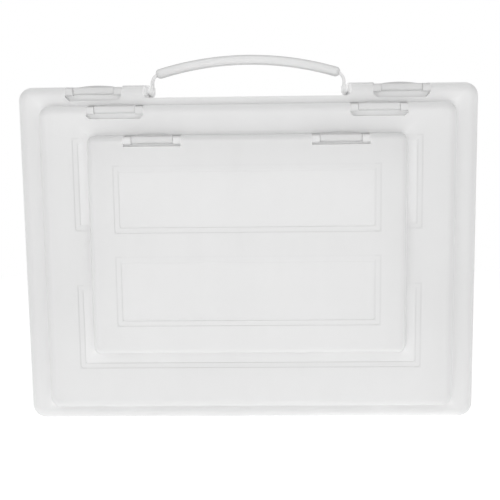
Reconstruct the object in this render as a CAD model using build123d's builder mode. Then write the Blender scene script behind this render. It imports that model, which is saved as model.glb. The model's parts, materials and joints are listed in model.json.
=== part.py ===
from build123d import *
import os
from dataclasses import dataclass

# A photo keeper case: a slim carry case in milky plastic with a bail handle on its top edge.
# A medium case snaps into a pocket in the front of its lid, and a small case into a shallow
# seat in the front of the medium case's lid. Each case is a base shell and a lid shell that
# hinge along the bottom edge and close with two snap latches on the top edge.
#
# Frame: X to the right, Y to the back, Z up. The origin is on the standing face, below the
# middle of the whole set's width and depth. "Front" distances run from there towards -Y.

os.makedirs("parts", exist_ok=True)

# ---------------------------------------------------------------- driving dimensions, mm
WALL = 1.8                # thickness of every shell wall
LARGE_BASE_DEPTH = 26.0
LARGE_LID_DEPTH = 20.0
POCKET_DEPTH = 12.0       # pocket for the medium case in the large lid
MEDIUM_PROUD = 3.2        # how far the medium base stands out of that pocket
MEDIUM_LID_DEPTH = 10.0
SEAT_DEPTH = 3.0          # seat for the small case in the medium lid
SMALL_PROUD = 4.0         # how far the small base stands out of that seat
SMALL_LID_DEPTH = 9.0
SEAT_GAP = 0.5            # gap round a case that sits in the next case's lid
RIM_ROUND = 0.8           # rounding of a pocket's front rim
SEAM_CHAMFER = 0.5        # bevel of both shells' outer edges where they meet
BACK_FRAME = 14.0         # width of the frame round the large case's recessed back panel
BACK_PANEL_DEPTH = 0.6
SNAP_RIM = 0.3            # height of the snap rim round a base that sits in such a seat
SNAP_RIM_BACK = 0.9       # how far the rim's front is behind the seat's front
SNAP_RIM_LENGTH = 1.2

HINGE_HEIGHT = 2.4        # hinge axis above a case's bottom face
KNUCKLE_RADIUS = 2.2
KNUCKLE_LENGTH = 9.0
KNUCKLE_GAP = 0.3         # end play between neighbouring knuckles
HINGE_PIN_RADIUS = 1.0
WEB_THICKNESS = 2.4       # arm that ties a knuckle to its shell
RUNNING_GAP = 0.05        # radial clearance of every pin in its bore

LATCH_ROOM = 41.0         # width of a latch recess
LATCH_WIDTH = 29.5        # the latch; its pin crosses the rest of the recess at both ends
LATCH_ROOM_DEPTH = 6.1    # recess depth behind the lid's front face
LATCH_SWING = 7.2         # below this depth the recess's lower corners are chamfered
LATCH_AXIS = 3.6          # latch axis below the top edge and behind the front face
LATCH_BARREL_RADIUS = 2.1
LATCH_PIN_RADIUS = 1.0
LATCH_PIN_GRIP = 1.3      # how far a latch pin enters each side of its recess
TOP_CHANNEL = 3.0         # depth of the channel that the latch plate lies in
PLATE_UNDER = 1.2         # underside of the latch plate below the top edge
PLATE_TOP = 0.2           # its flat ends below the top edge
LIP_RISE = 1.3            # thumb lip along the plate's free end, a flat arch
LIP_LENGTH = 3.6
PLATE_NOSE = 1.6          # plate's front end behind the lid's front face
PLATE_REACH = 2.7         # plate's free end behind the plane where the shells meet
BEAD_LENGTH = 1.0         # snap bead under the free end
BEAD_UNDER = 2.0
RIDGE_BACK = 1.2          # catch ridge on the base, behind the same plane
RIDGE_LENGTH = 0.8
RIDGE_TOP = 2.2           # top of the ridge below the top edge
CHANNEL_BACK = 4.0        # how far the channel runs into the base

WINDOW_STEP = 3.7         # width of the frame round a lid's clear panel
WINDOW_FRAME_DEPTH = 0.3
WINDOW_DEPTH = 0.6
WINDOW_CORNER = 2.0

NOTCH_HALF_WIDTH = 75.0   # finger notch in the large case's top edge
NOTCH_DEPTH = 8.3
NOTCH_CORNER = 3.0
NOTCH_WALL = 3.0

PIVOT_DROP = 4.0          # handle axis below the top edge
STRAP_THICKNESS = 2.0
STRAP_WIDTH = 7.0
STRAP_SIDE_GAP = 0.3
BOSS_LENGTH = 1.5         # round boss that spaces a handle arm off the notch wall
EYE_RADIUS = 4.0
HANDLE_PIN_RADIUS = 1.5
PIN_HEAD_RADIUS = 2.6
PIN_HEAD_LENGTH = 0.8
PIN_HEAD_GAP = 0.2
LUG_LENGTH = 5.0          # solid plastic beside the notch that holds a handle pin
LUG_WIDTH = 10.0
PIN_GRIP = 4.2            # how far a handle pin enters its lug
TAB_LENGTH = 19.0         # raised tab over each lug
TAB_RISE = 0.9
TAB_DEPTH = 20.0
GRIP_END_X = 66.0         # ends of the grip's middle line
GRIP_END_RISE = 9.3       # their height above the top edge
GRIP_TOP_RISE = 18.9      # its highest point above the top edge
GRIP_THICKNESS = 7.2
GRIP_WIDTH = 12.0
GRIP_ROUND = 3.2
GRIP_BORE_GAP = 0.15
SHOULDER_RISE = 1.5       # where a handle arm starts to curve in towards the grip
SHOULDER_IN = 1.2         # middle of that curve, inwards and upwards from its start
SHOULDER_UP = 4.6


@dataclass
class Case:
    """One case of the set. Heights of its windows are above its own bottom face."""

    name: str
    width: float
    height: float
    corner: float          # corner radius of the outline
    bottom: float          # height of its bottom face
    back: float            # front distance of its back face
    meeting: float         # front distance of the plane where base and lid meet
    front: float           # front distance of the lid's face
    edge_round: float      # rounding of the lid's front edge
    back_round: float      # rounding of the base's back edge
    groove: float          # radius of the groove that the hinge turns in
    hinge_x: float         # hinges at plus and minus this
    latch_x: float         # latches at plus and minus this
    latch_drop: float      # height of a latch recess
    window_half: float
    windows: tuple

    @property
    def top(self):
        return self.bottom + self.height

    @property
    def middle(self):
        return self.bottom + self.height / 2

    @property
    def hinge_z(self):
        return self.bottom + HINGE_HEIGHT


WHOLE_DEPTH = (LARGE_BASE_DEPTH + LARGE_LID_DEPTH + MEDIUM_PROUD + MEDIUM_LID_DEPTH
               + SMALL_PROUD + SMALL_LID_DEPTH)
LARGE_BACK = -WHOLE_DEPTH / 2
LARGE_MEETING = LARGE_BACK + LARGE_BASE_DEPTH
LARGE_FACE = LARGE_MEETING + LARGE_LID_DEPTH
MEDIUM_MEETING = LARGE_FACE + MEDIUM_PROUD
MEDIUM_FACE = MEDIUM_MEETING + MEDIUM_LID_DEPTH
SMALL_MEETING = MEDIUM_FACE + SMALL_PROUD
SMALL_FACE = SMALL_MEETING + SMALL_LID_DEPTH

LARGE = Case(name="large", width=335, height=250, corner=10, bottom=0, back=LARGE_BACK,
             meeting=LARGE_MEETING, front=LARGE_FACE, edge_round=7, back_round=5, groove=4.8,
             hinge_x=105, latch_x=111.7, latch_drop=10, window_half=0, windows=())
MEDIUM = Case(name="medium", width=300, height=224, corner=8, bottom=12.5,
              back=LARGE_FACE - POCKET_DEPTH, meeting=MEDIUM_MEETING, front=MEDIUM_FACE,
              edge_round=6, back_round=2, groove=4.2, hinge_x=95, latch_x=94.5,
              latch_drop=9.5, window_half=125.5, windows=((31, 93.5), (134, 201)))
SMALL = Case(name="small", width=226, height=158, corner=4.5, bottom=57.2,
             back=MEDIUM_FACE - SEAT_DEPTH, meeting=SMALL_MEETING, front=SMALL_FACE,
             edge_round=4, back_round=1.5, groove=4.2, hinge_x=66, latch_x=66.6,
             latch_drop=7.5, window_half=94.7, windows=((21, 71.7), (89, 137)))
HANDLE_FRONT = LARGE_BACK + LARGE_BASE_DEPTH / 2    # the handle's mid plane
ARM_X = NOTCH_HALF_WIDTH - BOSS_LENGTH - STRAP_SIDE_GAP - STRAP_THICKNESS / 2
SITS_IN = {"large": MEDIUM, "medium": SMALL, "small": None}   # the case in each lid's seat
SEAT_FACE = {"medium": LARGE_FACE, "small": MEDIUM_FACE}      # front of the seat it sits in
SIDES = (("left", -1), ("right", 1))


# ---------------------------------------------------------------- helpers
def plate(width, height, radius, centre_z, back, front, mode=Mode.ADD):
    """A rounded rectangle between two front distances."""
    with BuildSketch(Plane.XZ.offset(back)) as outline:
        with Locations((0, centre_z)):
            RectangleRounded(width, height, radius)
    extrude(outline.sketch, amount=front - back, mode=mode)


def block(x_low, x_high, back, front, z_low, z_high, mode=Mode.ADD):
    """A box given by its limits, its depth as front distances."""
    with Locations(((x_low + x_high) / 2, -(back + front) / 2, (z_low + z_high) / 2)):
        Box(x_high - x_low, front - back, z_high - z_low, mode=mode)


def rod(radius, length, x, front, z, mode=Mode.ADD):
    """A cylinder along X, centred on x."""
    with Locations(Location((x, -front, z), (0, 90, 0))):
        Cylinder(radius, length, mode=mode)


def save(part, name):
    part.label = name
    export_step(part, f"parts/{name}.step")
    print(f"{name:22s} {part.volume / 1000:8.2f} cm3  solids {len(part.solids())}")


def hinge_stations(case):
    return (-case.hinge_x, case.hinge_x)


def latch_stations(case):
    return (-case.latch_x, case.latch_x)


def cut_hinge_groove(case, grow=0.0):
    rod(case.groove + grow, case.width, 0, case.meeting, case.hinge_z, Mode.SUBTRACT)


def cut_latch_channel(case, x, back, front, grow=0.0):
    """The shallow channel in the top wall that a latch plate lies in."""
    half = LATCH_ROOM / 2 + grow
    block(x - half, x + half, back - grow, front + grow,
          case.top - TOP_CHANNEL - grow, case.top + WALL, Mode.SUBTRACT)


def cut_latch_room(case, x, grow=0.0):
    """The recess in the lid's top front edge that a latch barrel lies in."""
    half = LATCH_ROOM / 2 + grow
    floor = case.top - case.latch_drop - grow
    corner = case.latch_drop - LATCH_SWING
    with BuildSketch(Plane.XZ.offset(case.front - LATCH_ROOM_DEPTH - grow)) as outline:
        with BuildLine():
            Polyline((x - half, case.top + WALL), (x - half, floor + corner),
                     (x - half + corner, floor),
                     (x + half - corner, floor),
                     (x + half, floor + corner), (x + half, case.top + WALL),
                     close=True)
        make_face()
    extrude(outline.sketch, amount=LATCH_ROOM_DEPTH + grow + WALL, mode=Mode.SUBTRACT)


def cut_notch(grow=0.0):
    """The finger notch in the large case's top edge, through both shells."""
    floor = LARGE.top - NOTCH_DEPTH - grow
    ceiling = LARGE.top + 2 * NOTCH_DEPTH
    plate(2 * (NOTCH_HALF_WIDTH + grow), ceiling - floor, NOTCH_CORNER, (floor + ceiling) / 2,
          LARGE.back - WALL, LARGE.front + WALL, Mode.SUBTRACT)


def cut_seat(seated, face, grow=0.0):
    """The pocket in a lid's front that the next smaller case sits in."""
    reach = 2 * (SEAT_GAP + grow)
    plate(seated.width + reach, seated.height + reach, seated.corner + SEAT_GAP + grow,
          seated.middle, seated.back - grow, face + WALL, Mode.SUBTRACT)


def hollow(case, back, front, round_at_front, radius):
    """The room inside a shell, before the features that push into it are taken off."""
    with BuildPart() as room:
        plate(case.width - 2 * WALL, case.height - 2 * WALL, case.corner - WALL,
              case.middle, back, front)
        end = 0 if round_at_front else -1
        fillet(room.faces().sort_by(Axis.Y)[end].edges(), radius)
        cut_hinge_groove(case, WALL)
        if case is LARGE:
            cut_notch(NOTCH_WALL)
    return room.part


def add_knuckles(case, offsets, toward):
    """Hinge knuckles at offsets from each station, tied to the shell on one side."""
    for station in hinge_stations(case):
        for offset in offsets:
            x = station + offset * (KNUCKLE_LENGTH + KNUCKLE_GAP)
            rod(KNUCKLE_RADIUS, KNUCKLE_LENGTH, x, case.meeting, case.hinge_z)
            root = case.meeting + toward * (case.groove + WALL / 2)
            block(x - KNUCKLE_LENGTH / 2, x + KNUCKLE_LENGTH / 2, min(case.meeting, root),
                  max(case.meeting, root), case.hinge_z - WEB_THICKNESS / 2,
                  case.hinge_z + WEB_THICKNESS / 2)
            rod(HINGE_PIN_RADIUS + RUNNING_GAP, KNUCKLE_LENGTH, x, case.meeting,
                case.hinge_z, Mode.SUBTRACT)


# ---------------------------------------------------------------- base shells
def base_shell(case):
    with BuildPart() as room:
        add(hollow(case, case.back + WALL, case.meeting, False,
                   max(case.back_round - WALL, RIM_ROUND / 2)))
        for x in latch_stations(case):
            cut_latch_channel(case, x, case.meeting - CHANNEL_BACK, case.meeting, WALL)
        if case is LARGE:
            for _, side in SIDES:
                lug = sorted((side * NOTCH_HALF_WIDTH, side * (NOTCH_HALF_WIDTH + LUG_LENGTH)))
                block(*lug, HANDLE_FRONT - LUG_WIDTH / 2, HANDLE_FRONT + LUG_WIDTH / 2,
                      LARGE.top - LUG_WIDTH, LARGE.top, Mode.SUBTRACT)

    with BuildPart() as shell:
        plate(case.width, case.height, case.corner, case.middle, case.back, case.meeting)
        fillet(shell.faces().sort_by(Axis.Y)[-1].edges(), case.back_round)
        chamfer(shell.faces().sort_by(Axis.Y)[0].edges(), SEAM_CHAMFER)
        if case is LARGE:
            plate(case.width - 2 * BACK_FRAME, case.height - 2 * BACK_FRAME, case.corner,
                  case.middle, case.back - WALL, case.back + BACK_PANEL_DEPTH, Mode.SUBTRACT)
        if case.name in SEAT_FACE:
            rim_front = SEAT_FACE[case.name] - SNAP_RIM_BACK
            plate(case.width + 2 * SNAP_RIM, case.height + 2 * SNAP_RIM,
                  case.corner + SNAP_RIM, case.middle, rim_front - SNAP_RIM_LENGTH, rim_front)
        add(room.part, mode=Mode.SUBTRACT)
        cut_hinge_groove(case)
        for x in latch_stations(case):
            cut_latch_channel(case, x, case.meeting - CHANNEL_BACK, case.meeting)
            block(x - LATCH_WIDTH / 2, x + LATCH_WIDTH / 2, case.meeting - RIDGE_BACK,
                  case.meeting - RIDGE_BACK + RIDGE_LENGTH, case.top - TOP_CHANNEL,
                  case.top - RIDGE_TOP)
        add_knuckles(case, (-1, 1), -1)
        if case is LARGE:
            cut_notch()
            for _, side in SIDES:
                add_handle_tab(side)
    return shell.part


def add_handle_tab(side):
    """Beside the notch: raised tab, room for the arm's eye, pivot boss and pin bore."""
    tab = sorted((side * NOTCH_HALF_WIDTH, side * (NOTCH_HALF_WIDTH + TAB_LENGTH)))
    slot = sorted((side * (NOTCH_HALF_WIDTH - NOTCH_CORNER), side * NOTCH_HALF_WIDTH))
    with BuildSketch(Plane.XZ.offset(HANDLE_FRONT - TAB_DEPTH / 2)) as outline:
        with BuildLine():
            Polyline((tab[0], LARGE.top - WALL), (tab[0], LARGE.top),
                     (tab[0] + TAB_RISE, LARGE.top + TAB_RISE),
                     (tab[1] - TAB_RISE, LARGE.top + TAB_RISE), (tab[1], LARGE.top),
                     (tab[1], LARGE.top - WALL), close=True)
        make_face()
    extrude(outline.sketch, amount=TAB_DEPTH)
    block(*slot, HANDLE_FRONT - LUG_WIDTH / 2, HANDLE_FRONT + LUG_WIDTH / 2,
          LARGE.top - NOTCH_DEPTH - STRAP_SIDE_GAP, LARGE.top, Mode.SUBTRACT)
    rod(EYE_RADIUS, BOSS_LENGTH, side * (NOTCH_HALF_WIDTH - BOSS_LENGTH / 2), HANDLE_FRONT,
        LARGE.top - PIVOT_DROP)
    bore = BOSS_LENGTH + PIN_GRIP + STRAP_SIDE_GAP
    rod(HANDLE_PIN_RADIUS + RUNNING_GAP, bore, side * (NOTCH_HALF_WIDTH - BOSS_LENGTH + bore / 2),
        HANDLE_FRONT, LARGE.top - PIVOT_DROP, Mode.SUBTRACT)


# ---------------------------------------------------------------- lid shells
def lid_shell(case):
    seated = SITS_IN[case.name]
    with BuildPart() as room:
        add(hollow(case, case.meeting, case.front - WALL, True, case.edge_round - WALL))
        if seated:
            cut_seat(seated, case.front, WALL)
        for x in latch_stations(case):
            cut_latch_channel(case, x, case.meeting - WALL, case.front, WALL)
            cut_latch_room(case, x, WALL)

    with BuildPart() as shell:
        plate(case.width, case.height, case.corner, case.middle, case.meeting, case.front)
        fillet(shell.faces().sort_by(Axis.Y)[0].edges(), case.edge_round)
        chamfer(shell.faces().sort_by(Axis.Y)[-1].edges(), SEAM_CHAMFER)
        add(room.part, mode=Mode.SUBTRACT)
        if seated:
            cut_seat(seated, case.front)
            face = shell.faces().filter_by(Axis.Y).sort_by(Axis.Y)[0]
            fillet(face.inner_wires()[0].edges(), RIM_ROUND)
        for low, high in case.windows:
            for inset, depth in ((0, WINDOW_FRAME_DEPTH), (WINDOW_STEP, WINDOW_DEPTH)):
                plate(2 * (case.window_half - inset), high - low - 2 * inset, WINDOW_CORNER,
                      case.bottom + (low + high) / 2, case.front - depth, case.front + WALL,
                      Mode.SUBTRACT)
        cut_hinge_groove(case)
        for x in latch_stations(case):
            cut_latch_channel(case, x, case.meeting, case.front)
            cut_latch_room(case, x)
            rod(LATCH_PIN_RADIUS + RUNNING_GAP, LATCH_ROOM + 2 * LATCH_PIN_GRIP, x,
                case.front - LATCH_AXIS, case.top - LATCH_AXIS, Mode.SUBTRACT)
        add_knuckles(case, (0,), 1)
        if case is LARGE:
            cut_notch()
    return shell.part


# ---------------------------------------------------------------- latches and pins
def latch(case, x):
    """Barrel in the lid's recess, plate over the top edge, thumb lip and bead at its end."""
    half = LATCH_WIDTH / 2
    free_end = case.meeting - PLATE_REACH
    nose = case.front - PLATE_NOSE
    under = case.top - PLATE_UNDER
    flat = case.top - PLATE_TOP
    with BuildPart() as body:
        block(x - half, x + half, free_end, nose, under, flat)
        with BuildSketch(Plane.XZ.offset(free_end)):
            with BuildLine():
                Line((x - half, flat), (x + half, flat))
                ThreePointArc((x + half, flat), (x, flat + LIP_RISE), (x - half, flat))
            make_face()
        extrude(amount=LIP_LENGTH)
        rod(LATCH_BARREL_RADIUS, 2 * half, x, case.front - LATCH_AXIS, case.top - LATCH_AXIS)
        block(x - half, x + half, case.front - LATCH_AXIS - LATCH_BARREL_RADIUS, nose,
              case.top - LATCH_AXIS, under)
        block(x - half, x + half, free_end, free_end + BEAD_LENGTH,
              case.top - BEAD_UNDER, under)
        rod(LATCH_PIN_RADIUS + RUNNING_GAP, 2 * half, x, case.front - LATCH_AXIS,
            case.top - LATCH_AXIS, Mode.SUBTRACT)
    return body.part


def latch_pins(case):
    with BuildPart() as pins:
        for x in latch_stations(case):
            rod(LATCH_PIN_RADIUS, LATCH_ROOM + 2 * (LATCH_PIN_GRIP - KNUCKLE_GAP), x,
                case.front - LATCH_AXIS, case.top - LATCH_AXIS)
    return pins.part


def hinge_pins(case):
    with BuildPart() as pins:
        for station in hinge_stations(case):
            rod(HINGE_PIN_RADIUS, 3 * KNUCKLE_LENGTH + 2 * KNUCKLE_GAP, station, case.meeting,
                case.hinge_z)
    return pins.part


# ---------------------------------------------------------------- handle
def handle_band(thickness):
    """Outline of the whole handle strip: arms and grip arc, given its thickness."""
    pivot = LARGE.top - PIVOT_DROP
    shoulder = LARGE.top + SHOULDER_RISE
    end = LARGE.top + GRIP_END_RISE
    turn = (ARM_X - SHOULDER_IN, shoulder + SHOULDER_UP)
    with BuildSketch(Plane.XZ.offset(HANDLE_FRONT)) as band:
        with BuildLine():
            Line((-ARM_X, pivot), (-ARM_X, shoulder))
            ThreePointArc((-ARM_X, shoulder), (-turn[0], turn[1]), (-GRIP_END_X, end))
            ThreePointArc((-GRIP_END_X, end), (0, LARGE.top + GRIP_TOP_RISE), (GRIP_END_X, end))
            ThreePointArc((GRIP_END_X, end), turn, (ARM_X, shoulder))
            Line((ARM_X, shoulder), (ARM_X, pivot))
            offset(amount=thickness / 2, side=Side.BOTH)
        make_face()
    return band.sketch


def handle_arch():
    with BuildPart() as strap:
        extrude(handle_band(STRAP_THICKNESS), amount=STRAP_WIDTH / 2, both=True)
        for _, side in SIDES:
            rod(EYE_RADIUS, STRAP_THICKNESS, side * ARM_X, HANDLE_FRONT, LARGE.top - PIVOT_DROP)
            rod(HANDLE_PIN_RADIUS + RUNNING_GAP, STRAP_THICKNESS, side * ARM_X, HANDLE_FRONT,
                LARGE.top - PIVOT_DROP, Mode.SUBTRACT)
    return strap.part


def handle_grip():
    end = LARGE.top + GRIP_END_RISE
    with BuildPart() as sleeve:
        with BuildSketch(Plane.XZ.offset(HANDLE_FRONT)):
            with BuildLine():
                ThreePointArc((-GRIP_END_X, end), (0, LARGE.top + GRIP_TOP_RISE),
                              (GRIP_END_X, end))
                offset(amount=GRIP_THICKNESS / 2, side=Side.BOTH)
            make_face()
        extrude(amount=GRIP_WIDTH / 2, both=True)
        fillet(sleeve.faces().filter_by(Axis.Y).edges(), GRIP_ROUND)
        extrude(handle_band(STRAP_THICKNESS + 2 * GRIP_BORE_GAP),
                amount=STRAP_WIDTH / 2 + GRIP_BORE_GAP, both=True, mode=Mode.SUBTRACT)
    return sleeve.part


def handle_pins():
    """Two headed pins: the head on the strap's inner side, the shank in the lug."""
    inner = ARM_X - STRAP_THICKNESS / 2 - PIN_HEAD_GAP
    shank = NOTCH_HALF_WIDTH + PIN_GRIP - inner
    with BuildPart() as pins:
        for side in (-1, 1):
            rod(HANDLE_PIN_RADIUS, shank, side * (inner + shank / 2), HANDLE_FRONT,
                LARGE.top - PIVOT_DROP)
            rod(PIN_HEAD_RADIUS, PIN_HEAD_LENGTH, side * (inner - PIN_HEAD_LENGTH / 2),
                HANDLE_FRONT, LARGE.top - PIVOT_DROP)
    return pins.part


# ---------------------------------------------------------------- build and write
for case in (LARGE, MEDIUM, SMALL):
    save(base_shell(case), f"{case.name}_base_shell")
    save(lid_shell(case), f"{case.name}_lid_shell")
    save(hinge_pins(case), f"{case.name}_hinge_pins")
    save(latch_pins(case), f"{case.name}_latch_pins")
    for side_name, side in SIDES:
        save(latch(case, side * case.latch_x), f"{case.name}_latch_{side_name}")

save(handle_arch(), "handle_arch")
save(handle_grip(), "handle_grip")
save(handle_pins(), "handle_pins")
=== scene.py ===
# %% [markdown]
# # A photo keeper case in milky plastic
# Three slim cases ride in one another: a large carry case with a bail handle, a medium case
# in a pocket in its lid, and a small case in a seat in the medium lid. The solid model gives
# every piece its size and its joints. This file gives them their finish, and swaps the pieces
# whose surface shows most for smoother meshes of the same size.

# %% Load the frame
import bpy
import bmesh
import json
from math import cos, radians, sin
from types import SimpleNamespace
from mathutils import Matrix, Vector


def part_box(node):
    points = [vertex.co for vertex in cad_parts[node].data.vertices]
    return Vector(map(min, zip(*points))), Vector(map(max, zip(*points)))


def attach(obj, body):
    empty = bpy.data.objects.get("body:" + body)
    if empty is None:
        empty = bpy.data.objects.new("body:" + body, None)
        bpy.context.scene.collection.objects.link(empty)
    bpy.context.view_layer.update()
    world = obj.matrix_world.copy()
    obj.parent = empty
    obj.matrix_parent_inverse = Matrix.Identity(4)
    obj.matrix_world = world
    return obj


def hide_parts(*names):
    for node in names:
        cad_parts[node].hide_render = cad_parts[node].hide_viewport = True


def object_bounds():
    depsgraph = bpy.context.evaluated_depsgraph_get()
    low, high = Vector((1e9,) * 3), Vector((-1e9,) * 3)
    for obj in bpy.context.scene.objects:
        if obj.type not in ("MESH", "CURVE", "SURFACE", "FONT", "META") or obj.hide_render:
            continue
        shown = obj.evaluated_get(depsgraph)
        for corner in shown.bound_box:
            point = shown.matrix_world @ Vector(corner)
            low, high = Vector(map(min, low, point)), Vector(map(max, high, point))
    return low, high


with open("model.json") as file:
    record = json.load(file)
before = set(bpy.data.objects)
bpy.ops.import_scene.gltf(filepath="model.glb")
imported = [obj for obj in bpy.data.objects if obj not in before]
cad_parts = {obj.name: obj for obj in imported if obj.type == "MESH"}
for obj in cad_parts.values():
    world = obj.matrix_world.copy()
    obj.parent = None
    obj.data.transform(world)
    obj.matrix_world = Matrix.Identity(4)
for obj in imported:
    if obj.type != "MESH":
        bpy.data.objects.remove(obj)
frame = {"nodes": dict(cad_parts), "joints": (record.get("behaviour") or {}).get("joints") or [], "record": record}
cad_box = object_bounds()
nodes = frame["nodes"]
joints = {joint["name"]: joint for joint in frame["joints"]}

# %% [markdown]
# ## The camera
# A long-ish lens stands three quarters of a metre in front, level with the top of the case and
# tipped down, so the lid faces are seen square on and the top edge stays thin. A Track To
# constraint could aim it at the case, but the view also rolls a little, so three angles are
# written out instead.

# %% Camera
LENS = 72.0
SENSOR = 36.0
EYE = (0.0232, -0.7408, 0.2428)
ROLL, PITCH, YAW = -0.48, 8.83, -1.65

camera = bpy.data.objects.new("camera", bpy.data.cameras.new("camera"))
camera.data.lens = LENS
camera.data.sensor_width = SENSOR
turn = (Matrix.Rotation(radians(-ROLL), 4, "Y") @ Matrix.Rotation(radians(-PITCH), 4, "X")
        @ Matrix.Rotation(radians(-YAW), 4, "Z") @ Matrix.Rotation(radians(90), 4, "X"))
camera.matrix_world = Matrix.Translation(EYE) @ turn
bpy.context.scene.collection.objects.link(camera)
bpy.context.scene.camera = camera
print("camera looks along", tuple(round(v, 3) for v in turn @ Vector((0, 0, -1))))

# %% [markdown]
# ## Floor, sky and lamps
# Clear and milky pieces show best on a light table, so the room is white all round. The sky
# is brighter from above, one large lamp in front gives the rounded edges their shading, a
# small low one keeps the foot of the case from going grey, and the floor glows a little
# towards the case. More lamps could do the same with more noise. Is Camera Ray shows the
# floor and the sky as white without adding light to the case, and the floor keeps a faint
# shade under it.

# %% A small kit for node trees
def new_material(name):
    """A material with an empty tree and its output node."""
    material = bpy.data.materials.new(name)
    material.use_nodes = True
    material.node_tree.nodes.clear()
    output = material.node_tree.nodes.new("ShaderNodeOutputMaterial")
    return material, material.node_tree, output


def add_node(tree, kind, inputs=None, **settings):
    """One node with its settings and the values or links of its inputs."""
    node = tree.nodes.new(kind)
    for key, value in settings.items():
        setattr(node, key, value)
    for key, value in (inputs or {}).items():
        if isinstance(value, bpy.types.NodeSocket):
            tree.links.new(value, node.inputs[key])
        else:
            node.inputs[key].default_value = value
    return node


def grey(level):
    """A grey colour."""
    return (level, level, level, 1.0)


# %% Sky
SKY_LOW = 0.225
SKY_HIGH = 0.78
SKY_HIGH_FROM = 0.7
world = bpy.data.worlds.new("sky")
bpy.context.scene.world = world
world.use_nodes = True
sky = world.node_tree
sky.nodes.clear()
direction = add_node(sky, "ShaderNodeTexCoord").outputs["Generated"]
parts_of = add_node(sky, "ShaderNodeSeparateXYZ", {0: direction})
height = add_node(sky, "ShaderNodeMapRange", {"Value": parts_of.outputs["Z"], "From Min": 0.0,
                                              "From Max": SKY_HIGH_FROM,
                                              "To Min": SKY_LOW, "To Max": SKY_HIGH})
path = add_node(sky, "ShaderNodeLightPath")
seen = add_node(sky, "ShaderNodeMath", {0: path.outputs["Is Camera Ray"],
                                        1: path.outputs["Is Glossy Ray"]}, operation="MAXIMUM")
seen = add_node(sky, "ShaderNodeMath", {0: seen.outputs[0],
                                        1: path.outputs["Is Transmission Ray"]},
                operation="MAXIMUM")
light = add_node(sky, "ShaderNodeBackground", {"Color": (1, 1, 1, 1),
                                               "Strength": height.outputs[0]})
white = add_node(sky, "ShaderNodeBackground", {"Color": (1, 1, 1, 1), "Strength": 1.0})
mix = add_node(sky, "ShaderNodeMixShader", {0: seen.outputs[0], 1: light.outputs[0],
                                            2: white.outputs[0]})
sky.links.new(mix.outputs[0], add_node(sky, "ShaderNodeOutputWorld").inputs[0])
print("sky from", SKY_LOW, "to", SKY_HIGH)

# %% Floor
FLOOR_REACH = 4.0
FLOOR_TONE = 0.9
FLOOR_LIFT = 0.45
FLOOR_GLOW = 0.43
SHADE_END, WHITE_FROM = 0.25, 0.7
floor_mesh = bpy.data.meshes.new("floor")
floor_mesh.from_pydata([(-FLOOR_REACH, -FLOOR_REACH, 0), (FLOOR_REACH, -FLOOR_REACH, 0),
                        (FLOOR_REACH, FLOOR_REACH, 0), (-FLOOR_REACH, FLOOR_REACH, 0)], [],
                       [(0, 1, 2, 3)])
floor = bpy.data.objects.new("floor", floor_mesh)
bpy.context.scene.collection.objects.link(floor)
floor_look, tree, output = new_material("floor_white")
path = add_node(tree, "ShaderNodeLightPath")
paper = add_node(tree, "ShaderNodeBsdfDiffuse", {"Color": grey(FLOOR_TONE)})
lift = add_node(tree, "ShaderNodeEmission", {"Color": (1, 1, 1, 1), "Strength": FLOOR_LIFT})
lit = add_node(tree, "ShaderNodeAddShader", {0: paper.outputs[0], 1: lift.outputs[0]})
spot = add_node(tree, "ShaderNodeTexCoord").outputs["Object"]
reach = add_node(tree, "ShaderNodeVectorMath", {0: spot}, operation="LENGTH")
far = add_node(tree, "ShaderNodeMapRange", {"Value": reach.outputs["Value"],
                                            "From Min": SHADE_END, "From Max": WHITE_FROM})
plain = add_node(tree, "ShaderNodeEmission", {"Color": (1, 1, 1, 1), "Strength": 1.0})
shown = add_node(tree, "ShaderNodeMixShader", {0: far.outputs[0], 1: lit.outputs[0],
                                               2: plain.outputs[0]})
glow = add_node(tree, "ShaderNodeEmission", {"Color": (1, 1, 1, 1), "Strength": FLOOR_GLOW})
table = add_node(tree, "ShaderNodeAddShader", {0: paper.outputs[0], 1: glow.outputs[0]})
pick = add_node(tree, "ShaderNodeMixShader", {0: path.outputs["Is Camera Ray"],
                                              1: table.outputs[0], 2: shown.outputs[0]})
tree.links.new(pick.outputs[0], output.inputs[0])
floor_mesh.materials.append(floor_look)
print("floor", 2 * FLOOR_REACH, "m wide")

# %% Lamps
LAMP_PLACE = (-0.2, -1.3, 0.25)
LAMP_SIZE = 1.3
LAMP_WATTS = 2.62


def soft_lamp(name, place, aim, size, watts):
    """A square area lamp at place, turned to face aim."""
    lamp = bpy.data.lights.new(name, "AREA")
    lamp.size = size
    lamp.energy = watts
    item = bpy.data.objects.new(name, lamp)
    direction = Vector(aim) - Vector(place)
    item.matrix_world = (Matrix.Translation(place)
                         @ direction.to_track_quat("-Z", "Y").to_matrix().to_4x4())
    bpy.context.scene.collection.objects.link(item)
    print(name, "at", place)


middle = [(low + high) / 2 for low, high in zip(*cad_box)]
soft_lamp("front_lamp", LAMP_PLACE, middle, LAMP_SIZE, LAMP_WATTS)
LOW_PLACE = (0.0, -0.55, 0.03)
LOW_AIM = (0.0, 0.0, 0.03)
LOW_SIZE = 0.5
LOW_WATTS = 0.8
soft_lamp("low_lamp", LOW_PLACE, LOW_AIM, LOW_SIZE, LOW_WATTS)
bpy.context.scene.view_settings.view_transform = "Standard"

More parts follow.
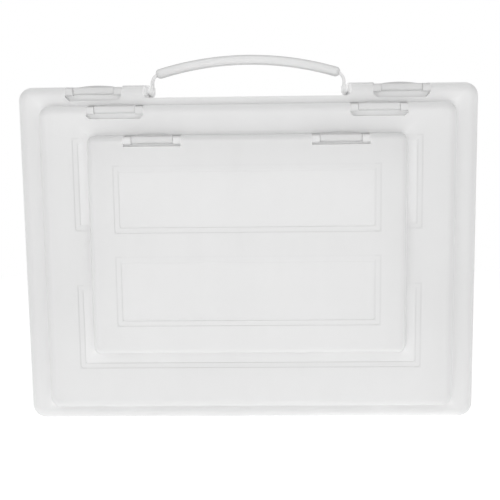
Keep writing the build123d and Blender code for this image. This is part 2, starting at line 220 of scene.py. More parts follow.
# %% [markdown]
# ## Milky plastic
# The shells are moulded in natural polypropylene, which is cloudy: a little light comes
# straight through a wall and the rest scatters. A rough glass or subsurface scattering could
# do this, but glass turns grey where walls stack up and scattering darkens every crease. Here
# a plain diffuse plastic lets part of every ray through with its Alpha, so that walls behind
# one another still add up to a pale, even grey.
#
# Several things vary over a wall. The melt leaves faint clouds and long flow marks. Light that
# enters near the side walls has more plastic to cross, and that is painted as shade: the tone
# falls off towards the side walls. Painted light makes the tone rise towards the foot, where the
# floor's light comes in, and at the head it is lighter or darker by case. Light that runs along
# inside a wall comes out again at its edges, painted there as a paler tone. And the clear
# panels in the lids are polished in the mould: smoother and easier to see through, paler with
# painted light from behind, with a fine line of painted shade where the wall steps down.

# %% Values of the shells
MM = 0.001
CASE_TONES = {"large": 0.825, "medium": 0.8, "small": 0.785}
CASE_ALPHA = 0.9
CASE_ROUGHNESS = 0.38
# painted shade: the share of tone taken off at a side wall, and how far in that reaches
EDGE_PAINTED_SHADE = 0.06
EDGE_REACH = 7 * MM
# painted light: the share of tone gained at the foot and at the head of a shell, and painted shade where the
# head's share is negative
FOOT_PAINTED_LIGHT = {"large": 0.07, "medium": 0.06, "small": 0.045}
FOOT_REACH = 90 * MM
HEAD_PAINTED_LIGHT_AND_SHADE = {"large": 0.05, "medium": 0.04, "small": -0.05}
HEAD_REACH = 40 * MM
print("tones", CASE_TONES, "alpha", CASE_ALPHA)


# %% Small sums for node trees
def maths(tree, operation, first, second=None, third=None):
    """The output of one Math node."""
    values = {slot: value for slot, value in enumerate((first, second, third))
              if value is not None}
    return add_node(tree, "ShaderNodeMath", values, operation=operation).outputs[0]


def ramp(tree, value, start, end, low=0.0, high=1.0):
    """A smooth step of value between start and end."""
    node = add_node(tree, "ShaderNodeMapRange",
                    {"Value": value, "From Min": start, "From Max": end, "To Min": low,
                     "To Max": high}, interpolation_type="SMOOTHSTEP")
    return node.outputs[0]


# %% Clouds and flow marks in the melt
CLOUD_SCALE = 14.0
CLOUD_ROUGHNESS = 0.6
CLOUD_DEPTH = 0.022
FLOW_SCALE = 55.0
FLOW_STRETCH = (1.0, 1.0, 0.12)
FLOW_DEPTH = 0.012


def melt(tree, place, tone):
    """The tone of the plastic with its clouds and flow marks."""
    cloud = add_node(tree, "ShaderNodeTexNoise", {"Vector": place, "Scale": CLOUD_SCALE,
                                                  "Detail": 4.0,
                                                  "Roughness": CLOUD_ROUGHNESS})
    along = add_node(tree, "ShaderNodeMapping", {"Vector": place, "Scale": FLOW_STRETCH})
    flow = add_node(tree, "ShaderNodeTexNoise", {"Vector": along.outputs[0],
                                                 "Scale": FLOW_SCALE, "Detail": 3.0})
    varied = maths(tree, "MULTIPLY_ADD", cloud.outputs[0], CLOUD_DEPTH * 2,
                   tone - CLOUD_DEPTH - FLOW_DEPTH)
    return maths(tree, "MULTIPLY_ADD", flow.outputs[0], FLOW_DEPTH * 2, varied)


# %% The satin skin of a mould
GRAIN_SCALE = 1300.0
GRAIN_DEPTH = 0.012 * MM
GRAIN_STRENGTH = 0.35
RUB_SCALE = 90.0
RUB_TURN = (0.2, 0.7, 0.1)
RUB_STRETCH = (1.0, 1.0, 0.04)
RUB_START, RUB_FULL = 0.56, 0.68
RUB_ROUGHNESS = 0.12


def skin(tree, place, roughness):
    """The normal and the roughness of a sparked mould surface with faint rub marks."""
    grain = add_node(tree, "ShaderNodeTexNoise", {"Vector": place, "Scale": GRAIN_SCALE,
                                                  "Detail": 2.0})
    bump = add_node(tree, "ShaderNodeBump", {"Height": grain.outputs[0],
                                             "Strength": GRAIN_STRENGTH,
                                             "Distance": GRAIN_DEPTH})
    turned = add_node(tree, "ShaderNodeMapping", {"Vector": place, "Rotation": RUB_TURN,
                                                  "Scale": RUB_STRETCH})
    rubs = add_node(tree, "ShaderNodeTexNoise", {"Vector": turned.outputs[0],
                                                 "Scale": RUB_SCALE, "Detail": 5.0})
    worn = maths(tree, "MULTIPLY_ADD", ramp(tree, rubs.outputs[0], RUB_START, RUB_FULL),
                 RUB_ROUGHNESS, roughness)
    return bump.outputs[0], worn


# %% The shader that every plastic ends in
def close_plastic(tree, output, tone, roughness, alpha, normal, light=None):
    """A grey plastic; painted light, where there is any, is its weak emission."""
    colour = add_node(tree, "ShaderNodeCombineColor", {0: tone, 1: tone, 2: tone})
    shader = add_node(tree, "ShaderNodeBsdfPrincipled",
                      {"Base Color": colour.outputs[0], "Roughness": roughness,
                       "Alpha": alpha, "Normal": normal})
    if light is not None:
        shader.inputs["Emission Color"].default_value = grey(1.0)
        tree.links.new(light, shader.inputs["Emission Strength"])
    tree.links.new(shader.outputs[0], output.inputs[0])


# %% [markdown]
# ### Where a place lies on a shell
# Every pattern of a shell depends on where a place is: how far from the side, above the foot
# or below the top. Object coordinates are the real places of the surface, so plain sums give
# all of these in metres. A painted mask could do the same, but it would need an unwrapped
# surface and would blur the fine lines.

# %% Measures on a shell
def measure(tree, node_name):
    """Sockets that say where a place on this shell lies."""
    low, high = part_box(node_name)
    place = add_node(tree, "ShaderNodeTexCoord").outputs["Object"]
    axes = add_node(tree, "ShaderNodeSeparateXYZ", {0: place}).outputs
    return SimpleNamespace(
        low=low, high=high, place=place, across=axes["X"], depth=axes["Y"], height=axes["Z"],
        side=maths(tree, "SUBTRACT", high[0], maths(tree, "ABSOLUTE", axes["X"])),
        above=maths(tree, "SUBTRACT", axes["Z"], low[2]),
        below_top=maths(tree, "SUBTRACT", high[2], axes["Z"]))


def outside(tree, at, half, bottom, top):
    """How far a place lies outside a rectangle on a lid, negative inside it."""
    low, high = at.low[2] + bottom * MM, at.low[2] + top * MM
    beside = maths(tree, "SUBTRACT", maths(tree, "ABSOLUTE", at.across), half * MM)
    level = maths(tree, "ABSOLUTE", maths(tree, "SUBTRACT", at.height, (low + high) / 2))
    return maths(tree, "MAXIMUM", beside, maths(tree, "SUBTRACT", level, (high - low) / 2))


# %% The tone of a shell's wall, with painted shade and light
def wall_tone(tree, case, at):
    """Clouded plastic, with painted shade at the side walls and painted light at the foot and head."""
    painted_edge_shade = maths(tree, "EXPONENT", maths(tree, "DIVIDE",
                                          maths(tree, "MAXIMUM", at.side, 0.0), -EDGE_REACH))
    tone = maths(tree, "MULTIPLY", melt(tree, at.place, CASE_TONES[case]),
                 maths(tree, "MULTIPLY_ADD", painted_edge_shade, -EDGE_PAINTED_SHADE, 1.0))
    painted_foot_head = maths(tree, "ADD", ramp(tree, at.above, 0.0, FOOT_REACH, FOOT_PAINTED_LIGHT[case], 0.0),
                   ramp(tree, at.below_top, 0.0, HEAD_REACH, HEAD_PAINTED_LIGHT_AND_SHADE[case], 0.0))
    return maths(tree, "MULTIPLY", tone, maths(tree, "ADD", painted_foot_head, 1.0))


# %% [markdown]
# ### Painted light where a wall ends
# A milky wall carries light along inside itself. It comes out where the wall ends: at the
# outer edges, round the seat of the next case, and in the narrow hollows at the latches and
# the handle, where it fills the shadow. Here that light is painted: at the edges and seats as a
# paler tone, and in the hollows, where hardly any light arrives from outside, as a very weak
# emission that lifts the shade.

# %% Painted light along the edges and seats
# painted light: how much paler the outer edges are made, how far in, and where it stops at the foot
EDGE_PAINTED_LIGHT = 0.2
PAINTED_LIGHT_REACH = 1.5 * MM
FOOT_DULL = 3.0 * MM
TONE_CAP = 0.97
# outline of the case seated in each lid in mm: half width, bottom and top above the lid's foot
SEATS = {"large_lid_shell": (150.0, 12.5, 236.5), "medium_lid_shell": (113.0, 44.7, 202.7)}
# painted light along each seat, reaching further under the seat's top
SEAT_REACH = 2.0 * MM
SEAT_HEAD_REACH = 4.0 * MM
SEAT_HEAD = 10.0 * MM


def painted_edge_light(tree, node_name, at):
    """The painted light mask: 1 at an outer edge or along a seat, fading into the wall."""
    inset = maths(tree, "MAXIMUM", maths(tree, "MINIMUM", at.side, at.below_top), 0.0)
    above = maths(tree, "ADD", maths(tree, "MAXIMUM", at.above, 0.0), FOOT_DULL)
    rim = maths(tree, "MINIMUM", inset, above)
    painted_light_mask = maths(tree, "EXPONENT", maths(tree, "DIVIDE", rim, -PAINTED_LIGHT_REACH))
    if node_name not in SEATS:
        return painted_light_mask
    seat_top = at.low[2] + SEATS[node_name][2] * MM
    reach = ramp(tree, at.height, seat_top - SEAT_HEAD, seat_top, -SEAT_REACH,
                 -SEAT_HEAD_REACH)
    off_seat = maths(tree, "ABSOLUTE", outside(tree, at, *SEATS[node_name]))
    # painted light round the seat, in the wall next to the seated case
    lip = maths(tree, "EXPONENT", maths(tree, "DIVIDE", off_seat, reach))
    return maths(tree, "MAXIMUM", painted_light_mask, lip)


# %% Painted light in the hollows
# middle of each case's latch recesses in mm, half width, depth below the top, corner cut off
RECESSES = {"large": (111.7, 20.5, 10.0, 2.8), "medium": (94.5, 20.5, 9.5, 2.3),
            "small": (66.6, 20.5, 7.5, 0.3)}
# painted light: the weak emission that lifts the shade in each case's latch recesses
RECESS_PAINTED_LIGHTS = {"large": 0.05, "medium": 0.06, "small": 0.13}
RECESS_DEPTH = 6.3 * MM
# the same for the two lugs that hold the handle
LUGS = (70.5, 4.8, 7.4, 1.8)
# painted light: the weak emission that lifts the shade in the handle's notch
LUG_PAINTED_LIGHT = 0.17
LUG_BACK = 4.0 * MM
HOLLOW_START, HOLLOW_END = -0.2 * MM, 0.5 * MM
HOLLOW_FADE = 0.3 * MM


def beside_top(tree, at, middle, half, drop, cut):
    """1 in the two spots at +-middle that reach drop below the top edge, else 0."""
    aside = maths(tree, "ABSOLUTE", maths(tree, "SUBTRACT",
                                          maths(tree, "ABSOLUTE", at.across), middle * MM))
    far = maths(tree, "MAXIMUM", maths(tree, "SUBTRACT", aside, half * MM),
                maths(tree, "SUBTRACT", at.below_top, drop * MM))
    corner = maths(tree, "SUBTRACT", maths(tree, "ADD", aside, at.below_top),
                   (half + drop - cut) * MM)
    return ramp(tree, maths(tree, "MAXIMUM", far, corner), HOLLOW_START, HOLLOW_END, 1.0, 0.0)


def painted_hollow_light(tree, node_name, at, painted_light_mask):
    """The painted light mask with the hollows added, and the strength of their painted light or None."""
    case = node_name.split("_")[0]
    hollows = []
    if node_name.endswith("lid_shell"):
        hollows.append((RECESSES[case], at.low[1] + RECESS_DEPTH, RECESS_PAINTED_LIGHTS[case]))
    if case == "large":
        hollows.append((LUGS, at.high[1] - LUG_BACK, LUG_PAINTED_LIGHT))
    light = None
    for spot, last, strength in hollows:
        here = maths(tree, "MULTIPLY", beside_top(tree, at, *spot),
                     ramp(tree, at.depth, last, last + HOLLOW_FADE, 1.0, 0.0))
        painted_light_mask = maths(tree, "MAXIMUM", painted_light_mask, here)
        lit = maths(tree, "MULTIPLY", here, strength)
        light = lit if light is None else maths(tree, "MAXIMUM", light, lit)
    return painted_light_mask, light


# %% [markdown]
# ### The clear panels
# Each panel is a shallow inset in a lid's face, polished in the mould. The distance to its
# edge gives the panel's area, made paler with painted light from behind, and two fine border
# lines of painted shade, one at the top and one at the foot of the step. The lines are a soft
# tone and not a groove, because the solids have the step.

# %% The polish of the panels
# half width, bottom and top of each panel in mm, above the lid's foot
PANELS = {"medium_lid_shell": ((125.5, 31.0, 93.5), (125.5, 134.0, 201.0)),
          "small_lid_shell": ((94.7, 21.0, 71.7), (94.7, 89.0, 137.0))}
PANEL_FRAME = 3.7 * MM
PANEL_BORDER = 0.5 * MM
# painted light: how much paler each case's panels are, for the light from behind
PANEL_PAINTED_LIGHT_TONES = {"medium": 1.11, "small": 1.04}
PANEL_ALPHA = 0.85
PANEL_ROUGHNESS = 0.24
# painted shade: the share of tone taken off in a line, and how much of it the long lines keep
PANEL_PAINTED_LINE_SHADE = 0.05
PANEL_LONG_LINE = 0.25
LINE_CORE, LINE_END = 0.2 * MM, 1.0 * MM
LINE_TURN = 1.0 * MM


def panel_line(tree, distance):
    """1 where a distance is about nil, else 0."""
    return ramp(tree, maths(tree, "ABSOLUTE", distance), LINE_CORE, LINE_END, 1.0, 0.0)


def polish(tree, node_name, at, tone, roughness):
    """Tone, roughness and alpha of a shell with its clear panels, their painted light and their lines of painted
    shade.
    """
    inside = None
    for half, bottom, top in PANELS.get(node_name, ()):
        far = outside(tree, at, half, bottom, top)
        clear = ramp(tree, far, -PANEL_FRAME - PANEL_BORDER, -PANEL_FRAME, 1.0, 0.0)
        end = ramp(tree, maths(tree, "ABSOLUTE", at.across),
                   half * MM - PANEL_FRAME - LINE_TURN, half * MM - PANEL_FRAME,
                   PANEL_LONG_LINE, 1.0)
        outer = panel_line(tree, far)
        inner = panel_line(tree, maths(tree, "ADD", far, PANEL_FRAME))
        edge = maths(tree, "MAXIMUM", maths(tree, "MULTIPLY", outer, end),
                     maths(tree, "MULTIPLY", inner, maths(tree, "MULTIPLY", end, end)))
        tone = maths(tree, "MULTIPLY", tone,
                     maths(tree, "MULTIPLY_ADD", edge, -PANEL_PAINTED_LINE_SHADE, 1.0))
        inside = clear if inside is None else maths(tree, "MAXIMUM", inside, clear)
    if inside is None:
        return tone, roughness, CASE_ALPHA
    panel_painted_light = PANEL_PAINTED_LIGHT_TONES[node_name.split("_")[0]] - 1.0
    tone = maths(tree, "MULTIPLY", tone, maths(tree, "MULTIPLY_ADD", inside, panel_painted_light, 1.0))
    smoother = maths(tree, "SUBTRACT", PANEL_ROUGHNESS, roughness)
    return (tone, maths(tree, "MULTIPLY_ADD", inside, smoother, roughness),
            maths(tree, "MULTIPLY_ADD", inside, PANEL_ALPHA - CASE_ALPHA, CASE_ALPHA))


# %% A shell's material
def shell_plastic(node_name):
    """Milky plastic for one shell, fitted to its outline, its seat and its panels."""
    material, tree, output = new_material("milky_" + node_name)
    at = measure(tree, node_name)
    painted_light_mask, light = painted_hollow_light(tree, node_name, at, painted_edge_light(tree, node_name, at))
    tone = maths(tree, "MULTIPLY", wall_tone(tree, node_name.split("_")[0], at),
                 maths(tree, "MULTIPLY_ADD", painted_light_mask, EDGE_PAINTED_LIGHT, 1.0))
    normal, roughness = skin(tree, at.place, CASE_ROUGHNESS)
    tone, roughness, alpha = polish(tree, node_name, at,
                                    maths(tree, "MINIMUM", tone, TONE_CAP), roughness)
    close_plastic(tree, output, tone, roughness, alpha, normal, light)
    return material


# %% [markdown]
# ### The solid pieces
# Latches, handle and pins are thicker and have no panels. The latches are painted a shade
# darker than the shells: painted shade for the walls their plates lie close over. The handle's
# strap is thin and lets more light through, and its feet stand in the notch, where a weak
# emission of painted light lifts the shade, as in the hollows; the pins below the pivot get it
# too. The pins are white and let none through. Each could have a tree of its own, but they
# differ by a few numbers only, so one function makes them all.

# %% A solid piece's material
# painted shade: the latches' tones sit below the shells' for the walls under their plates
LATCH_SHADED_TONES = {"large": 0.75, "medium": 0.74, "small": 0.69}
LATCH_ALPHA = 0.9
LATCH_ROUGHNESS = 0.3
HANDLE_TONE = 0.96
HANDLE_ALPHA = 0.7
HANDLE_ROUGHNESS = 0.32
PIN_TONE = 0.95
PIN_ROUGHNESS = 0.3
# painted light: a weak emission on the handle and pins below the pivot, in the notch's shade
PIVOT_PAINTED_LIGHT = 0.13
PIVOT_LIGHT_END = 5.0 * MM


def solid_plastic(name, tone, alpha, roughness, pivot_height=None):
    """Milky plastic for the thicker pieces, with painted light, a weak emission, below a pivot where it has one.
    """
    material, tree, output = new_material(name)
    place = add_node(tree, "ShaderNodeTexCoord").outputs["Object"]
    level = melt(tree, place, tone)
    normal, worn = skin(tree, place, roughness)
    light = None
    if pivot_height is not None:
        height = add_node(tree, "ShaderNodeSeparateXYZ", {0: place}).outputs["Z"]
        light = ramp(tree, height, pivot_height, pivot_height + PIVOT_LIGHT_END,
                     PIVOT_PAINTED_LIGHT, 0.0)
    close_plastic(tree, output, level, worn, alpha, normal, light)
    return material


# %% Dress every solid piece
pivot = joints["handle_swing"]["pos_m"]
latch_looks = {case: solid_plastic("milky_" + case + "_latch", tone, LATCH_ALPHA,
                                   LATCH_ROUGHNESS)
               for case, tone in LATCH_SHADED_TONES.items()}
finishes = {"latch_plastic": latch_looks["large"],
            "handle_plastic": solid_plastic("milky_handle", HANDLE_TONE, HANDLE_ALPHA,
                                            HANDLE_ROUGHNESS, pivot[2]),
            "pin_plastic": solid_plastic("white_pin", PIN_TONE, 1.0, PIN_ROUGHNESS, pivot[2])}
slot_of = {part["node"]: part["material_slot"] for part in frame["record"]["subparts"]}
for name, node in nodes.items():
    look = shell_plastic(name) if name.endswith("_shell") else finishes[slot_of[name]]
    node.data.materials.clear()
    node.data.materials.append(look)
print("dressed", len(nodes), "solid pieces")

# %% [markdown]
# ## Shapes that follow a rule
# The snap lips, latch bosses, washers and grip are sweeps: one small outline carried along a
# path. Extruding and bevelling by hand would give the same surface, but a Geometry Nodes tree
# keeps the sizes as named inputs, so one tree serves every copy and a new size is one number.
# Each tree ends in Realize Instances and Set Material, and is then turned into a plain mesh.

# %% A kit for shape trees
def shape_tree(name, sizes):
    """A geometry tree whose inputs are named sizes and a material."""
    tree = bpy.data.node_groups.new(name, "GeometryNodeTree")
    tree.interface.new_socket(name="Geometry", in_out="OUTPUT",
                              socket_type="NodeSocketGeometry")
    for size in sizes:
        tree.interface.new_socket(name=size, in_out="INPUT", socket_type="NodeSocketFloat")
    tree.interface.new_socket(name="Material", in_out="INPUT",
                              socket_type="NodeSocketMaterial")
    return tree, add_node(tree, "NodeGroupInput").outputs


def close_tree(tree, shape, material):
    """Realize Instances, Set Material and the tree's output."""
    real = add_node(tree, "GeometryNodeRealizeInstances", {"Geometry": shape})
    dressed = add_node(tree, "GeometryNodeSetMaterial", {"Geometry": real.outputs[0],
                                                         "Material": material})
    tree.links.new(dressed.outputs[0], add_node(tree, "NodeGroupOutput").inputs[0])


# %% Grow a piece and keep its mesh
SHARP_ANGLE = radians(35)


def bake(piece):
    """Keep what the modifiers make as a plain mesh, and drop them."""
    graph = bpy.context.evaluated_depsgraph_get()
    plain = bpy.data.meshes.new_from_object(piece.evaluated_get(graph))
    piece.modifiers.clear()
    piece.data = plain
    for face in plain.polygons:
        face.use_smooth = True
    plain.set_sharp_from_angle(angle=SHARP_ANGLE)
    return piece


def grow(name, tree, values):
    """One piece made by a shape tree with these values."""
    piece = bpy.data.objects.new(name, bpy.data.meshes.new(name))
    bpy.context.scene.collection.objects.link(piece)
    grown = piece.modifiers.new("shape", "NODES")
    grown.node_group = tree
    for item in tree.interface.items_tree:
        if item.in_out == "INPUT":
            grown[item.identifier] = values[item.name]
    return bake(piece)


def corners(piece):
    """The lowest and the highest corner of a piece in millimetres."""
    places = [vertex.co for vertex in piece.data.vertices]
    return [[round(pick(place[k] for place in places) / MM, 2) for k in range(3)]
            for pick in (min, max)]


# %% [markdown]
# ## The snap lips
# A seated case is held by a thin flat lip along its base, which closes the gap to the pocket
# round it. It could be cut out of a copy of the shell, but the shell's mesh is loose triangles
# with no loop to follow. Here the path is a rectangle with filleted corners, resampled to
# short, even steps, and a small flat section is swept along it. The curve's normal is set to
# the front, so that the section lies flat all the way round.

# %% The tree of a snap lip
LIP_ACROSS = 1.5 * MM
LIP_THICK = 0.3 * MM
LIP_ROUND = 0.13 * MM
LIP_SINK = 0.02 * MM
LIP_STEP = 1.3 * MM

tree, sizes = shape_tree("snap_lip", ("Width", "Height", "Corner", "Middle Height", "Depth",
                                      "Lip Thick", "Lip Across", "Lip Round", "Step"))
frame_line = add_node(tree, "GeometryNodeCurvePrimitiveQuadrilateral",
                      {"Width": sizes["Width"], "Height": sizes["Height"]}, mode="RECTANGLE")
rounded = add_node(tree, "GeometryNodeFilletCurve",
                   {"Curve": frame_line.outputs[0], "Count": 12, "Radius": sizes["Corner"]},
                   mode="POLY")
steps = add_node(tree, "GeometryNodeResampleCurve",
                 {"Curve": rounded.outputs[0], "Length": sizes["Step"]}, mode="LENGTH")
centre = add_node(tree, "ShaderNodeCombineXYZ", {1: sizes["Depth"], 2: sizes["Middle Height"]})
stood = add_node(tree, "GeometryNodeTransform",
                 {"Geometry": steps.outputs[0], "Translation": centre.outputs[0],
                  "Rotation": (radians(90), 0, 0)})
facing = add_node(tree, "GeometryNodeSetCurveNormal",
                  {"Curve": stood.outputs[0], "Normal": (0.0, -1.0, 0.0)}, mode="FREE")
flat = add_node(tree, "GeometryNodeCurvePrimitiveQuadrilateral",
                {"Width": sizes["Lip Thick"], "Height": sizes["Lip Across"]},
                mode="RECTANGLE")
soft_flat = add_node(tree, "GeometryNodeFilletCurve",
                     {"Curve": flat.outputs[0], "Count": 4, "Radius": sizes["Lip Round"]},
                     mode="POLY")
lip = add_node(tree, "GeometryNodeCurveToMesh",
               {"Curve": facing.outputs[0], "Profile Curve": soft_flat.outputs[0],
                "Fill Caps": False})
close_tree(tree, lip.outputs[0], sizes["Material"])
print("snap_lip tree has", len(tree.nodes), "nodes")

# %% Two snap lips
# the lips are paler than the shells: painted light in the shade of the seat's crease
LIP_PAINTED_LIGHT_TONE = 0.97
LIP_ALPHA = 0.9
# the lid that each case is seated in, and the case's corner radius in mm
LIPS = {"medium": ("large_lid_shell", 8.0), "small": ("medium_lid_shell", 4.5)}
lip_plastic = solid_plastic("milky_lip", LIP_PAINTED_LIGHT_TONE, LIP_ALPHA, CASE_ROUGHNESS)
lip_out = LIP_ACROSS / 2 - LIP_SINK
for case, (seat, corner) in LIPS.items():
    low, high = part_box(case + "_lid_shell")
    piece = grow(case + "_snap_lip", tree,
                 {"Width": high[0] - low[0] + 2 * lip_out,
                  "Height": high[2] - low[2] + 2 * lip_out,
                  "Corner": corner * MM + lip_out, "Middle Height": (low[2] + high[2]) / 2,
                  "Depth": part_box(seat)[0][1] - LIP_THICK / 2 - LIP_SINK,
                  "Lip Thick": LIP_THICK, "Lip Across": LIP_ACROSS, "Lip Round": LIP_ROUND,
                  "Step": LIP_STEP, "Material": lip_plastic})
    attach(piece, case + "_base")
    print(piece.name, len(piece.data.polygons), "faces", corners(piece))

# %% [markdown]
# ## The latch bosses
# Each latch pin is held at both ends by a small boss in the lid's recess. There are twelve and
# all are alike. Copies could be placed by hand or by an Array, but they come in mirrored
# pairs, so the tree sweeps one boss, sets it on the two points of a short line to flank a
# latch, and sets that pair on the two points of a long line, once for each latch.

# %% The tree of the bosses
tree, sizes = shape_tree("latch_bosses", ("Latch Place", "Latch Half", "Room Half", "Depth",
                                          "Middle Height", "Deep", "Tall", "Corner"))
length = maths(tree, "SUBTRACT", sizes["Room Half"], sizes["Latch Half"])
middle_x = maths(tree, "MULTIPLY", maths(tree, "ADD", sizes["Room Half"], sizes["Latch Half"]),
                 0.5)
start = add_node(tree, "ShaderNodeCombineXYZ", {0: maths(tree, "MULTIPLY", length, -0.5)})
end = add_node(tree, "ShaderNodeCombineXYZ", {0: maths(tree, "MULTIPLY", length, 0.5)})
core = add_node(tree, "GeometryNodeCurvePrimitiveLine", {"Start": start.outputs[0],
                                                         "End": end.outputs[0]})
block = add_node(tree, "GeometryNodeCurvePrimitiveQuadrilateral",
                 {"Width": sizes["Deep"], "Height": sizes["Tall"]}, mode="RECTANGLE")
soft_block = add_node(tree, "GeometryNodeFilletCurve",
                      {"Curve": block.outputs[0], "Count": 6, "Radius": sizes["Corner"]},
                      mode="POLY")
boss = add_node(tree, "GeometryNodeCurveToMesh",
                {"Curve": core.outputs[0], "Profile Curve": soft_block.outputs[0],
                 "Fill Caps": True})


def twin_points(distance, *rest):
    """A mesh line of two points at plus and minus a distance along X."""
    ends = [add_node(tree, "ShaderNodeCombineXYZ",
                     {0: maths(tree, "MULTIPLY", distance, sign), **dict(rest)})
            for sign in (-1.0, 1.0)]
    line = add_node(tree, "GeometryNodeMeshLine",
                    {"Count": 2, "Start Location": ends[0].outputs[0],
                     "Offset": ends[1].outputs[0]}, mode="END_POINTS")
    return line.outputs[0]


flank = add_node(tree, "GeometryNodeInstanceOnPoints",
                 {"Points": twin_points(middle_x), "Instance": boss.outputs[0]})
rows = add_node(tree, "GeometryNodeInstanceOnPoints",
                {"Points": twin_points(sizes["Latch Place"], (1, sizes["Depth"]),
                                       (2, sizes["Middle Height"])),
                 "Instance": flank.outputs[0]})
close_tree(tree, rows.outputs[0], sizes["Material"])
print("latch_bosses tree has", len(tree.nodes), "nodes")

# %% Four bosses in each lid
BOSS_GAP = 0.15 * MM
BOSS_FRONT = 1.0 * MM
BOSS_BACK = 6.1 * MM
BOSS_TOP = 0.5 * MM
BOSS_TALL = 5.7 * MM
BOSS_CORNER = 1.4 * MM
BOSS_SIDE = 0.02 * MM
BOSS_TONE = 0.77
AXIS_TO_TOP = 3.6 * MM
boss_plastic = solid_plastic("milky_boss", BOSS_TONE, CASE_ALPHA, CASE_ROUGHNESS)
for case, (latch_place, room_half, *_) in RECESSES.items():
    lid_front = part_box(case + "_lid_shell")[0][1]
    latch_low, latch_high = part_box(case + "_latch_left")
    axis = joints[case + "_latch_left_hinge"]["pos_m"]
    case_top = axis[2] + AXIS_TO_TOP
    piece = grow(case + "_latch_bosses", tree,
                 {"Latch Place": latch_place * MM,
                  "Latch Half": (latch_high[0] - latch_low[0]) / 2 + BOSS_GAP,
                  "Room Half": room_half * MM - BOSS_SIDE,
                  "Depth": lid_front + (BOSS_FRONT + BOSS_BACK) / 2,
                  "Middle Height": case_top - BOSS_TOP - BOSS_TALL / 2,
                  "Deep": BOSS_BACK - BOSS_FRONT, "Tall": BOSS_TALL, "Corner": BOSS_CORNER,
                  "Material": boss_plastic})
    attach(piece, case + "_lid")
    print(piece.name, len(piece.data.polygons), "faces", corners(piece))

# %% [markdown]
# ## The grip
# The grip is a flat oval tube pushed over the strap. A bent cylinder would do for the tube, but
# its round ends would have to be modelled apart. Here the middle line is an arc through three
# points, the section is a rounded rectangle, and the sweep's Scale input draws both ends in
# to round noses. How far a point of the section lies from the middle is stored with it, so
# that painted shade can darken the plastic along the upper and lower edge.

# %% The tree of the grip
GRIP_STEP = 0.7 * MM
GRIP_NOSE = 3.4 * MM
GRIP_END = 0.3

tree, sizes = shape_tree("grip", ("Span", "End Height", "Top Height", "Depth", "Thickness",
                                  "Width", "Corner", "Nose", "Step"))
half_span = maths(tree, "MULTIPLY", sizes["Span"], 0.5)
left = add_node(tree, "ShaderNodeCombineXYZ", {0: maths(tree, "MULTIPLY", half_span, -1.0),
                                               1: sizes["Depth"], 2: sizes["End Height"]})
top = add_node(tree, "ShaderNodeCombineXYZ", {1: sizes["Depth"], 2: sizes["Top Height"]})
right = add_node(tree, "ShaderNodeCombineXYZ", {0: half_span, 1: sizes["Depth"],
                                                2: sizes["End Height"]})
bow = add_node(tree, "GeometryNodeCurveArc",
               {"Resolution": 64, "Start": left.outputs[0], "Middle": top.outputs[0],
                "End": right.outputs[0]}, mode="POINTS")
steps = add_node(tree, "GeometryNodeResampleCurve",
                 {"Curve": bow.outputs[0], "Length": sizes["Step"]}, mode="LENGTH")
whole = add_node(tree, "GeometryNodeSplineLength").outputs["Length"]
along = add_node(tree, "GeometryNodeSplineParameter").outputs["Length"]
to_end = maths(tree, "MINIMUM", along, maths(tree, "SUBTRACT", whole, along))
share = maths(tree, "MINIMUM", maths(tree, "DIVIDE", to_end, sizes["Nose"]), 1.0)
missing = maths(tree, "POWER", maths(tree, "SUBTRACT", 1.0, share), 2.0)
nose = maths(tree, "SQRT", maths(tree, "SUBTRACT", 1.0, missing))
nose = maths(tree, "MAXIMUM", nose, GRIP_END)
oblong = add_node(tree, "GeometryNodeCurvePrimitiveQuadrilateral",
                  {"Width": sizes["Width"], "Height": sizes["Thickness"]}, mode="RECTANGLE")
oval = add_node(tree, "GeometryNodeFilletCurve",
                {"Curve": oblong.outputs[0], "Count": 8, "Radius": sizes["Corner"]},
                mode="POLY")
across = add_node(tree, "ShaderNodeSeparateXYZ",
                  {0: add_node(tree, "GeometryNodeInputPosition").outputs[0]}).outputs["Y"]
edge = maths(tree, "DIVIDE", maths(tree, "MULTIPLY", across, 2.0), sizes["Thickness"])
marked = add_node(tree, "GeometryNodeStoreNamedAttribute",
                  {"Geometry": oval.outputs[0], "Name": "grip_edge", "Value": edge},
                  domain="POINT", data_type="FLOAT")
body = add_node(tree, "GeometryNodeCurveToMesh",
                {"Curve": steps.outputs[0], "Profile Curve": marked.outputs[0],
                 "Scale": nose, "Fill Caps": True})
close_tree(tree, body.outputs[0], sizes["Material"])
print("grip tree has", len(tree.nodes), "nodes")


# %% The grip's plastic
GRIP_TONE = 0.96
GRIP_ALPHA = 0.8
GRIP_RIM_START = 0.55
# painted shade: where it starts across the grip, and how much tone it takes off at the edge
GRIP_RIM_PAINTED_SHADE = 0.25


def grip_plastic():
    """Milky plastic, darker with painted shade towards the upper and lower edge."""
    material, tree, output = new_material("milky_grip")
    place = add_node(tree, "ShaderNodeTexCoord").outputs["Object"]
    rim = add_node(tree, "ShaderNodeAttribute", attribute_name="grip_edge").outputs["Fac"]
    painted_edge_shade = ramp(tree, maths(tree, "ABSOLUTE", rim), GRIP_RIM_START, 1.0)
    level = maths(tree, "MULTIPLY", melt(tree, place, GRIP_TONE),
                  maths(tree, "MULTIPLY_ADD", painted_edge_shade, -GRIP_RIM_PAINTED_SHADE, 1.0))
    normal, worn = skin(tree, place, HANDLE_ROUGHNESS)
    close_plastic(tree, output, level, worn, GRIP_ALPHA, normal)
    return material


